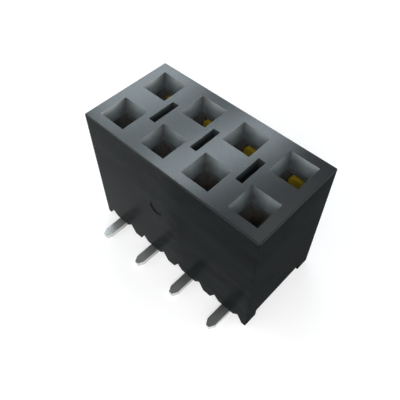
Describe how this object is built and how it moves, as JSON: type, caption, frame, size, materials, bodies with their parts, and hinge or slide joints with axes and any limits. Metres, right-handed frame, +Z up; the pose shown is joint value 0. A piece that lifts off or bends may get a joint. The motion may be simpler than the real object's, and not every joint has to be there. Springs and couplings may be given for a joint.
{
  "type": "pcb socket",
  "caption": "Dual-row surface-mount board socket: black moulded block with square pin entries on top, gold spring contacts inside and tinned gull-wing tails along both sides.",
  "frame": {"origin": "under the middle of the socket, in the plane of the circuit board, which the undersides of the solder tails touch", "axes": "+X along the rows, +Y across them from the front row to the back row, +Z up, the way the pins leave"},
  "size_m": [0.0102, 0.0076, 0.0074],
  "materials": {
    "housing_plastic": "satin, fine moulded grain",
    "plated_contact": "copper alloy strip, gold on the beams and matte tin on the tails"
  },
  "bodies": {
    "root": {"housing": "housing_plastic", "contact_front_1": "plated_contact", "contact_front_2": "plated_contact", "contact_front_3": "plated_contact", "contact_front_4": "plated_contact", "contact_back_1": "plated_contact", "contact_back_2": "plated_contact", "contact_back_3": "plated_contact", "contact_back_4": "plated_contact"}
  },
  "joints": []
}
